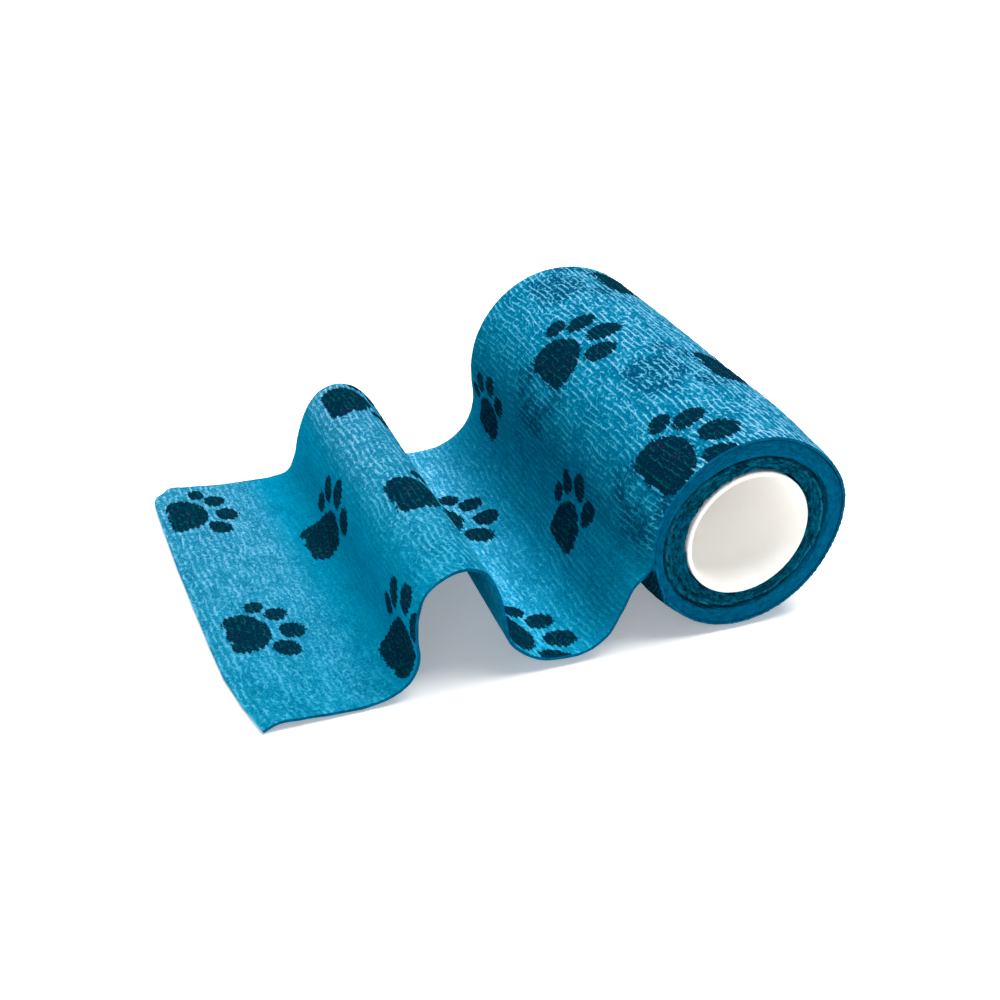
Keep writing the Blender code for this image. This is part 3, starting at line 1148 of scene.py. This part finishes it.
def stand_for(piece: bpy.types.Object, node: str) -> None:
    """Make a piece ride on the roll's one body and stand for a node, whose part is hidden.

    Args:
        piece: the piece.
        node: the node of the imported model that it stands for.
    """
    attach(piece, "root")
    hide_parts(node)


@dataclass
class ShownStrip:
    """The strip that shows: the loose end and the roll's outermost turn, as one closed sheet.

    Its outer side is a fine grid that carries the crinkles. Its inner side is a coarser one.
    """

    shape: RollShape
    crepe: Crepe
    thickness: float = 0.7 * MM
    start_thickness: float = 0.5 * MM
    row_step: float = 0.3 * MM
    column_count: int = 91
    rows_per_inner: int = 4
    columns_per_inner: int = 3
    smooth_steps: int = 24
    settle_length: float = 20.0 * MM
    start_slant: float = 1.0
    sharp_angle: float = 50.0
    ridge_height: float = 0.18 * MM
    ridge_mean: float = 0.4
    edge_tooth: float = 0.14 * MM
    tooth_mean: float = 0.5
    edge_band: float = 1.5
    edge_calm: float = 0.85

    def tail_length(self) -> float:
        """Return the loose end's mean length."""
        lines = [self.shape.loose_end(place, self.smooth_steps) for place in (0.0, 0.5, 1.0)]
        return float(np.mean([along_line(line)[-1] for line in lines]))

    def _column(self, place: float, tail_rows: int, roll_rows: int) -> tuple:
        """Return one lengthwise line of the strip: its two sides and its along values.

        Args:
            place: the place across the strip, from 0 to 1.
            tail_rows: the number of steps on the loose end.
            roll_rows: the number of steps on the outermost turn.

        Returns:
            The (x, z) points of the outer and the inner side, from the cut end to the end that
            the wound turns go on from, and the distance along from the cut end.
        """
        tail = self.shape.loose_end(place, self.smooth_steps)[::-1]
        travelled = along_line(tail)
        even = np.linspace(0.0, travelled[-1], tail_rows + 1)
        tail = np.stack([np.interp(even, travelled, tail[:, axis]) for axis in (0, 1)], axis=1)
        leave = self.shape.leave_angle
        angles = np.linspace(leave + 360.0, leave + self.start_slant, roll_rows + 1)
        roll = self.shape.outer_turn(place, angles)
        middle = np.vstack([tail, roll[1:]])
        slope = np.gradient(middle, axis=0)
        slope /= np.linalg.norm(slope, axis=1)[:, None]
        normal = np.stack([-slope[:, 1], slope[:, 0]], axis=1)
        from_root = along_line(middle) - travelled[-1]
        settled = smoothstep(-from_root / self.settle_length)
        half = self.shape.solid_thickness / 2.0
        outward = half + (self.thickness / 2.0 - half) * settled
        wound = smoothstep(from_root / from_root[-1])
        thick = self.thickness + (self.start_thickness - self.thickness) * wound
        outer = middle + normal * outward[:, None]
        inner = outer - normal * thick[:, None]
        return outer, inner, self.tail_length() + from_root

    def _grids(self) -> tuple:
        """Work out the strip's points.

        Returns:
            The grid of points of the outer side and of the inner one, the grid of along values, and
            the places across.
        """
        tail_rows = self._whole(self.tail_length() / self.row_step)
        turn = 2.0 * math.pi * self.shape.start_radius
        roll_rows = self._whole(turn / self.row_step)
        places = np.linspace(0.0, 1.0, self.column_count)
        columns = [self._column(place, tail_rows, roll_rows) for place in places]
        y = (places - 0.5) * self.shape.width
        sides = []
        for side in (0, 1):
            flat = np.stack([column[side] for column in columns], axis=1)
            grid = np.stack([flat[..., 0], np.broadcast_to(y, flat.shape[:2]), flat[..., 1]], axis=2)
            sides.append(grid)
        along = np.stack([column[2] for column in columns], axis=1)
        return sides[0], sides[1], along, places

    def _whole(self, steps: float) -> int:
        """Return a number of steps that both sides' grids divide."""
        return int(round(steps / self.rows_per_inner)) * self.rows_per_inner

    def base_mesh(self) -> bpy.types.Mesh:
        """Make the smooth closed sheet, before it is crinkled.

        Returns:
            The mesh, which keeps its points' places on the strip.
        """
        outer, inner, along, places = self._grids()
        rows, columns = outer.shape[:2]
        skip, leap = self.rows_per_inner, self.columns_per_inner
        coarse = inner[::skip, ::leap]
        fine_index = np.arange(rows * columns).reshape(rows, columns)
        coarse_index = np.arange(coarse.shape[0] * coarse.shape[1]).reshape(coarse.shape[:2])
        coarse_index = coarse_index + rows * columns
        faces = self._quads(fine_index) + self._quads(coarse_index[::-1])
        faces += self._rim(fine_index[::-1, 0], coarse_index[::-1, 0], skip)
        faces += self._rim(fine_index[:, -1], coarse_index[:, -1], skip)
        faces += self._rim(fine_index[0], coarse_index[0], leap)
        faces += self._rim(fine_index[-1, ::-1], coarse_index[-1, ::-1], leap)
        points = np.vstack([outer.reshape(-1, 3), coarse.reshape(-1, 3)])
        data = bpy.data.meshes.new("bandage_strip")
        data.from_pydata(points.tolist(), [], faces)
        across = np.broadcast_to(places * self.shape.width / MM, (rows, columns))
        place = np.stack([across, along / MM, np.zeros_like(along)], axis=2)
        place = np.vstack([place.reshape(-1, 3), place[::skip, ::leap].reshape(-1, 3)])
        side = np.concatenate([
            np.full(rows * columns, Side.OUTER.value), np.full(coarse_index.size, Side.INNER.value)])
        self._store(data, place, side)
        data.shade_smooth()
        data.set_sharp_from_angle(angle=math.radians(self.sharp_angle))
        return data

    @staticmethod
    def _quads(index: np.ndarray) -> list:
        """Return the quads of a grid of point numbers."""
        corners = (index[:-1, :-1], index[1:, :-1], index[1:, 1:], index[:-1, 1:])
        return np.stack([corner.ravel() for corner in corners], axis=1).tolist()

    @staticmethod
    def _rim(fine: np.ndarray, coarse: np.ndarray, leap: int) -> list:
        """Return the faces of an edge wall between the two sides' grids.

        Args:
            fine: the point numbers along the outer side's edge.
            coarse: the point numbers along the inner side's edge.
            leap: how many fine steps one coarse step spans.

        Returns:
            The faces as lists of point numbers.
        """
        faces = []
        for step in range(len(coarse) - 1):
            upper = fine[step * leap:(step + 1) * leap + 1].tolist()
            faces.append([*upper, int(coarse[step + 1]), int(coarse[step])])
        return faces

    @staticmethod
    def _store(data: bpy.types.Mesh, place: np.ndarray, side: np.ndarray) -> None:
        """Keep each point's place on the strip and its side with the mesh.

        Args:
            data: the mesh.
            place: each point's place across and along in millimetres, with a third number of 0.
            side: each point's side.
        """
        attribute = data.attributes.new(PLACE_NAME, "FLOAT_VECTOR", "POINT")
        attribute.data.foreach_set("vector", place.ravel().astype(np.float32))
        attribute = data.attributes.new(SIDE_NAME, "FLOAT", "POINT")
        attribute.data.foreach_set("value", side.astype(np.float32))
        corners = np.zeros(len(data.loops), np.int32)
        data.loops.foreach_get("vertex_index", corners)
        layer = data.uv_layers.new(name=UV_NAME)
        layer.data.foreach_set("uv", (place[corners, :2] / UV_MM).ravel().astype(np.float32))

    def build(self, material: bpy.types.Material) -> bpy.types.Object:
        """Make the strip: crinkle its outer side and its edges, and dress it.

        Args:
            material: the cloth's material.

        Returns:
            The strip as a plain mesh.
        """
        tree = GeometryTree("crepe_relief", {
            "Ridge Height": self.ridge_height, "Edge Tooth": self.edge_tooth, "Material": material})
        across, along, _ = tree.split(tree.kept(PLACE_NAME, "FLOAT_VECTOR"))
        strength, _, _ = self.crepe.look(tree, along)
        ridges = self.crepe.ridges(tree, across, along, self.crepe.ridge_width)
        width = self.shape.width / MM
        near = 1.0 - across.step(0.0, self.edge_band)
        far = across.step(width - self.edge_band, width)
        height = (ridges - self.ridge_mean) * tree.kept(SIDE_NAME) * strength
        height = height * (1.0 - (near + far) * self.edge_calm) * tree.value("Ridge Height")
        normal = tree.field("GeometryNodeInputNormal")
        raised = tree.field("ShaderNodeVectorMath", {"operation": "SCALE"}, {0: normal, "Scale": height})
        tooth = (far - near) * (ridges - self.tooth_mean) * tree.value("Edge Tooth")
        offset = tree.field(
            "ShaderNodeVectorMath", {"operation": "ADD"}, {0: raised, 1: tree.vector(0.0, tooth)})
        crinkled = tree.moved(tree.value("Geometry"), Offset=offset)
        x, y, z = tree.position()
        tree.close(tree.moved(crinkled, Position=tree.vector(x, y, z.of("MAXIMUM", 0.0))))
        strip = tree.run(place_mesh("strip_base", self.base_mesh()), "bandage_strip")
        stand_for(strip, "bandage")
        length = self.tail_length() + 2.0 * math.pi * self.shape.start_radius
        return strip


@dataclass
class WoundTurns:
    """The turns wound below the outermost one, a spiral from the core to where the strip goes on.

    Their edges show as the roll's end faces. The outer turns' edges lie flush and smooth. The inner
    ones are crinkled, and an uneven crevice runs between the two.
    """

    shape: RollShape
    turns: float = 17.0
    inner_radius: float = 15.3 * MM
    outer_inset: float = 0.35 * MM
    thickness: float = 0.48 * MM
    steps_per_turn: int = 190
    columns: int = 12
    bunching: float = 0.8
    start_along: float = 283.0
    start_slant: float = 1.0
    edge_power: float = 24.0
    crinkle_size: float = 1.1 * MM
    crinkle_depth: float = 0.55 * MM
    crinkle_twist: float = 1.3
    crinkle_detail: float = 1.0
    streak_length: float = 2.2
    streak_span: float = 140.0
    streak_step: float = 3.1
    streak_seed: float = 41.0
    sunk: float = 0.45 * MM
    edge_inset: float = 0.25 * MM
    crevice_depth: float = 1.5 * MM
    crevice_width: float = 0.95
    crevice_mean: float = 7.9
    crevice_side: float = 1.6
    crevice_oval: float = -1.6
    crevice_wander: float = 0.9
    wander_rate: float = 3.0
    wander_seed: float = 31.0
    wander_detail: float = 2.0

    def length(self) -> float:
        """Return the spiral's length."""
        return math.pi * (self.inner_radius + self.shape.start_radius) * self.turns

    def build(self, material: bpy.types.Material) -> bpy.types.Object:
        """Make the spiral.

        Args:
            material: the cloth's material.

        Returns:
            The wound turns as a plain mesh.
        """
        tree = GeometryTree("wound_turns", {
            "Rows": int(self.turns * self.steps_per_turn) + 1, "Columns": self.columns,
            "Turns": self.turns, "Inner Radius": self.inner_radius,
            "Outer Radius": self.shape.start_radius - self.outer_inset,
            "Crinkle Depth": self.crinkle_depth, "Crevice Depth": self.crevice_depth,
            "Material": material})
        grid = tree.field("GeometryNodeMeshGrid", None, {
            "Size X": 1.0, "Size Y": 1.0,
            "Vertices X": tree.value("Rows"), "Vertices Y": tree.value("Columns")})
        x, y, _ = tree.position()
        depth = (0.5 - x) * tree.value("Turns")
        even = y + 0.5
        place = even - (even * (2.0 * math.pi)).of("SINE") * (self.bunching / (2.0 * math.pi))
        angle = self.shape.leave_angle + self.start_slant - depth * 360.0
        past_crevice = depth - self._crevice_at(tree, angle)
        marked = self._mark(tree, grid, {
            UV_NAME: self._strip_place(tree, place, depth), RING_NAME: past_crevice + RING_OFFSET})
        placed = tree.moved(marked, Position=self._position(tree, place, depth, angle, past_crevice))
        tree.close(tree.field("GeometryNodeSetShadeSmooth", None, {"Geometry": placed}))
        host = place_mesh("turns_base", bpy.data.meshes.new("turns_base"))
        turns = tree.run(host, "bandage_turns", self.thickness)
        stand_for(turns, "bandage")
        return turns

    def _crevice_at(self, tree: GeometryTree, angle: Field) -> Field:
        """Return how many turns deep the crevice lies.

        Args:
            tree: the tree that the field belongs to.
            angle: the angle round the end face in degrees.

        Returns:
            The depth as a field.
        """
        turned = angle * (math.pi / 180.0)
        cos, sin = turned.of("COSINE"), turned.of("SINE")
        wander = tree.noise(
            cos * self.wander_rate, sin * self.wander_rate, self.wander_seed, self.wander_detail)
        oval = cos * cos * 2.0 - 1.0
        return (self.crevice_mean + cos * self.crevice_side + oval * self.crevice_oval
                + wander * self.crevice_wander)

    def _strip_place(self, tree: GeometryTree, place: Field, depth: Field) -> Field:
        """Return the place on the strip as a UV vector.

        Args:
            tree: the tree that the field belongs to.
            place: the place across the strip, from 0 to 1.
            depth: how many turns below the shown strip the place lies.

        Returns:
            The vector as a field.
        """
        outer = tree.value("Outer Radius") / MM
        span = outer - tree.value("Inner Radius") / MM
        travelled = (outer * depth - span * depth * depth / (2.0 * self.turns)) * (2.0 * math.pi)
        return tree.vector(
            place * (self.shape.width / MM / UV_MM), (travelled + self.start_along) / UV_MM)

    @staticmethod
    def _mark(tree: GeometryTree, geometry: Field, values: dict[str, Field]) -> Field:
        """Keep fields as named attributes of the mesh; the UV map lies on its corners.

        Args:
            tree: the tree that the fields belong to.
            geometry: the geometry that keeps them.
            values: the field for each name.

        Returns:
            The geometry with its attributes.
        """
        for name, value in values.items():
            kind, domain = ("FLOAT2", "CORNER") if name == UV_NAME else ("FLOAT", "POINT")
            geometry = tree.field(
                "GeometryNodeStoreNamedAttribute", {"data_type": kind, "domain": domain},
                {"Geometry": geometry, "Name": name, "Value": value})
        return geometry

    def _position(self, tree: GeometryTree, place: Field, depth: Field, angle: Field,
                  past_crevice: Field) -> Field:
        """Return where a point of the spiral lies.

        Args:
            tree: the tree that the field belongs to.
            place: the place across the strip, from 0 to 1.
            depth: how many turns below the shown strip the point lies.
            angle: its angle round the axis in degrees.
            past_crevice: how many turns inside the crevice it lies.

        Returns:
            The position as a field.
        """
        turned = angle * (math.pi / 180.0)
        cos, sin = turned.of("COSINE"), turned.of("SINE")
        share = depth / tree.value("Turns")
        span = tree.value("Outer Radius") - tree.value("Inner Radius")
        lift = self._lift(angle, place) * (1.0 - share)
        radius = tree.value("Outer Radius") - share * span + lift
        ring = radius / self.crinkle_size
        wave = tree.noise(cos * ring, sin * ring, depth * self.crinkle_twist, self.crinkle_detail)
        streak = tree.noise(
            depth * (self.streak_span / self.streak_length), depth * self.streak_step,
            self.streak_seed, self.crinkle_detail)
        sunk = (wave + streak) * tree.value("Crinkle Depth") + self.sunk
        crevice = (past_crevice / self.crevice_width).bell() * tree.value("Crevice Depth")
        sunk = past_crevice.step(0.0, 1.0) * sunk + crevice
        near, far = (1.0 - place) ** self.edge_power, place ** self.edge_power
        width = self.shape.width - 2.0 * self.edge_inset
        y = (place - 0.5) * width + (near - far) * sunk
        x = radius * cos + self.shape.axis_x
        z = radius * sin + self.shape.axis_height
        return tree.vector(x, y, z.of("MAXIMUM", 0.0))

    def _lift(self, angle: Field, place: Field) -> Field:
        """Return how far the drawn-in ends and the lumps move the outermost of these turns.

        Args:
            angle: the angle round the axis in degrees.
            place: the place across the strip, from 0 to 1.

        Returns:
            The distance outwards, in metres, as a field.
        """
        shape = self.shape
        near = (1.0 - place * (shape.width / shape.near_drop_width)).of("MAXIMUM", 0.0)
        far = (1.0 - (1.0 - place) * (shape.width / shape.far_drop_width)).of("MAXIMUM", 0.0)
        lift = -(near * near * shape.near_drop) - far * far * shape.far_drop
        for lump in LUMP_ROWS:
            aside = (angle - lump.angle + 180.0) / 360.0
            aside = (aside - aside.of("FLOOR") - 0.5) * (360.0 / lump.angle_spread)
            across = (place - lump.place) / lump.place_spread
            lift = lift + aside.bell() * across.bell() * (lump.rise * MM)
        return lift


@dataclass
class CoreTube:
    """The open core: a thin-walled tube with rounded rims."""

    shape: RollShape
    radius: float = 14.75 * MM
    wall: float = 1.3 * MM
    inset: float = 0.3 * MM
    rim_round: float = 0.35 * MM
    mouth_depth: float = 2.2 * MM
    mouth_step: float = 0.3 * MM
    steps: int = 192
    round_steps: int = 4

    def _corner(self, radius: float, along: float, start: float) -> list[tuple[float, float]]:
        """Return a rounded corner of the wall's outline.

        Args:
            radius: the radius at which the rounding's centre lies.
            along: where its centre lies along the tube.
            start: the angle that the quarter circle starts at, in degrees.

        Returns:
            The corner's (radius, along) points.
        """
        points = []
        for step in range(self.round_steps + 1):
            angle = math.radians(start + 90.0 * step / self.round_steps)
            points.append((
                radius + self.rim_round * math.cos(angle), along + self.rim_round * math.sin(angle)))
        return points

    def _profile(self) -> list[tuple[float, float]]:
        """Work out the closed outline of the wall, whose bore is a little wider at its mouths.

        Returns:
            The outline's (radius, along) points.
        """
        half = self.shape.width / 2.0 - self.inset
        bore = self.radius - self.wall
        mouth = bore + self.mouth_step
        narrow = self.mouth_depth + self.mouth_step
        rim = half - self.rim_round
        return [
            *self._corner(self.radius - self.rim_round, -rim, -90.0),
            *self._corner(self.radius - self.rim_round, rim, 0.0),
            *self._corner(mouth + self.rim_round, rim, 90.0),
            (mouth, half - self.mouth_depth), (bore, half - narrow),
            (bore, narrow - half), (mouth, self.mouth_depth - half),
            *self._corner(mouth + self.rim_round, -rim, 180.0)]

    def build(self, material: bpy.types.Material) -> bpy.types.Object:
        """Make the tube.

        Args:
            material: the plastic's material.

        Returns:
            The tube as a plain mesh.
        """
        profile = self._profile()
        count = len(profile)
        points, faces = [], []
        for step in range(self.steps):
            turn = 2.0 * math.pi * step / self.steps
            for radius, along in profile:
                points.append((
                    self.shape.axis_x + radius * math.cos(turn), along,
                    self.shape.axis_height + radius * math.sin(turn)))
        for step in range(self.steps):
            first, second = step * count, (step + 1) % self.steps * count
            for i in range(count):
                j = (i + 1) % count
                faces.append((first + i, first + j, second + j, second + i))
        data = bpy.data.meshes.new("core_tube")
        data.from_pydata(points, [], faces)
        data.materials.append(material)
        data.shade_smooth()
        tube = place_mesh("core_tube", data)
        stand_for(tube, "core")
        return tube


@dataclass(frozen=True)
class Studio:
    """The pale floor, the soft lights and the camera at the photo's angle."""

    target: tuple = (0.00613, 0.0, 0.01274)
    azimuth: float = -23.45
    elevation: float = 29.78
    distance: float = 0.34855
    tilt: float = 1.99
    lens: float = 53.153
    sensor: float = 36.0
    clip_start: float = 0.01
    floor_half: float = 15.0
    floor_colour: tuple = (0.90, 0.90, 0.90)
    floor_glow: float = 0.3
    floor_roughness: float = 0.9
    white: tuple = (1.0, 1.0, 1.0)
    sky: float = 0.28
    horizon: float = 0.54
    horizon_ends: tuple = (0.12, 0.30)

    def _direction(self, azimuth: float, elevation: float) -> Vector:
        """Return the unit vector from the target towards an azimuth and an elevation."""
        turn, rise = math.radians(azimuth), math.radians(elevation)
        return Vector((
            math.sin(turn) * math.cos(rise), -math.cos(turn) * math.cos(rise), math.sin(rise)))

    def camera(self) -> None:
        """Make the camera and make it the scene's."""
        data = bpy.data.cameras.new("camera")
        data.lens = self.lens
        data.sensor_width = self.sensor
        data.clip_start = self.clip_start
        camera = bpy.data.objects.new("camera", data)
        back = self._direction(self.azimuth, self.elevation)
        camera.location = Vector(self.target) + back * self.distance
        camera.rotation_mode = "QUATERNION"
        turn = Quaternion((0.0, 0.0, 1.0), math.radians(self.tilt))
        camera.rotation_quaternion = (-back).to_track_quat("-Z", "Y") @ turn
        bpy.context.scene.collection.objects.link(camera)
        bpy.context.scene.camera = camera

    def light(self, row: LightRow) -> None:
        """Add a soft light that faces the target.

        Args:
            row: the light.
        """
        data = bpy.data.lights.new(row.name, "AREA")
        data.energy = row.watts
        data.size = row.side
        light = bpy.data.objects.new(row.name, data)
        back = self._direction(row.azimuth, row.elevation)
        light.location = Vector(self.target) + back * row.distance
        light.rotation_mode = "QUATERNION"
        light.rotation_quaternion = (-back).to_track_quat("-Z", "Y")
        bpy.context.scene.collection.objects.link(light)

    def floor(self) -> None:
        """Lay the pale floor, which isn't part of the object."""
        half = self.floor_half
        data = bpy.data.meshes.new("floor")
        data.from_pydata(
            [(-half, -half, 0.0), (half, -half, 0.0), (half, half, 0.0), (-half, half, 0.0)],
            [], [(0, 1, 2, 3)])
        material, nodes, shader = new_material("studio_floor")
        nodes.feed(shader, {
            "Base Color": self.floor_colour, "Roughness": self.floor_roughness,
            "Emission Color": self.floor_colour, "Emission Strength": self.floor_glow})
        data.materials.append(material)
        place_mesh("floor", data)

    def build(self) -> None:
        """Make the whole studio."""
        self.camera()
        self.floor()
        for row in LIGHT_ROWS:
            self.light(row)
        self.surroundings()
        bpy.context.scene.view_settings.view_transform = "Standard"

    def surroundings(self) -> None:
        """Make the even light from all round, which is brighter low down, beyond the floor."""
        world = bpy.data.worlds.new("studio")
        world.use_nodes = True
        nodes = Nodes(world.node_tree)
        _, _, up = nodes.split(nodes.field("ShaderNodeTexCoord", output="Generated"))
        high = up.step(*self.horizon_ends)
        nodes.feed(world.node_tree.nodes["Background"], {
            "Color": self.white, "Strength": high * (self.sky - self.horizon) + self.horizon})
        bpy.context.scene.world = world


def main() -> None:
    """Build the studio and every piece, and report each."""
    logging.basicConfig(level=logging.INFO, format="%(name)s: %(message)s")
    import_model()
    shape, crepe, paws = RollShape(), Crepe(), PawPrint()
    Studio().build()
    strip = ShownStrip(shape, crepe)
    cloth = CrepeFinish().build(crepe, paws, shape.width / MM, strip.tail_length() / MM)
    core = CoreTube(shape)
    plastic = PlasticFinish().build(shape.axis_x, shape.axis_height, core.radius - core.wall / 2.0)
    for piece in (core.build(plastic), WoundTurns(shape).build(cloth), strip.build(cloth)):
        log.info("%s: %d faces", piece.name, len(piece.data.polygons))


if __name__ == "__main__":
    main()
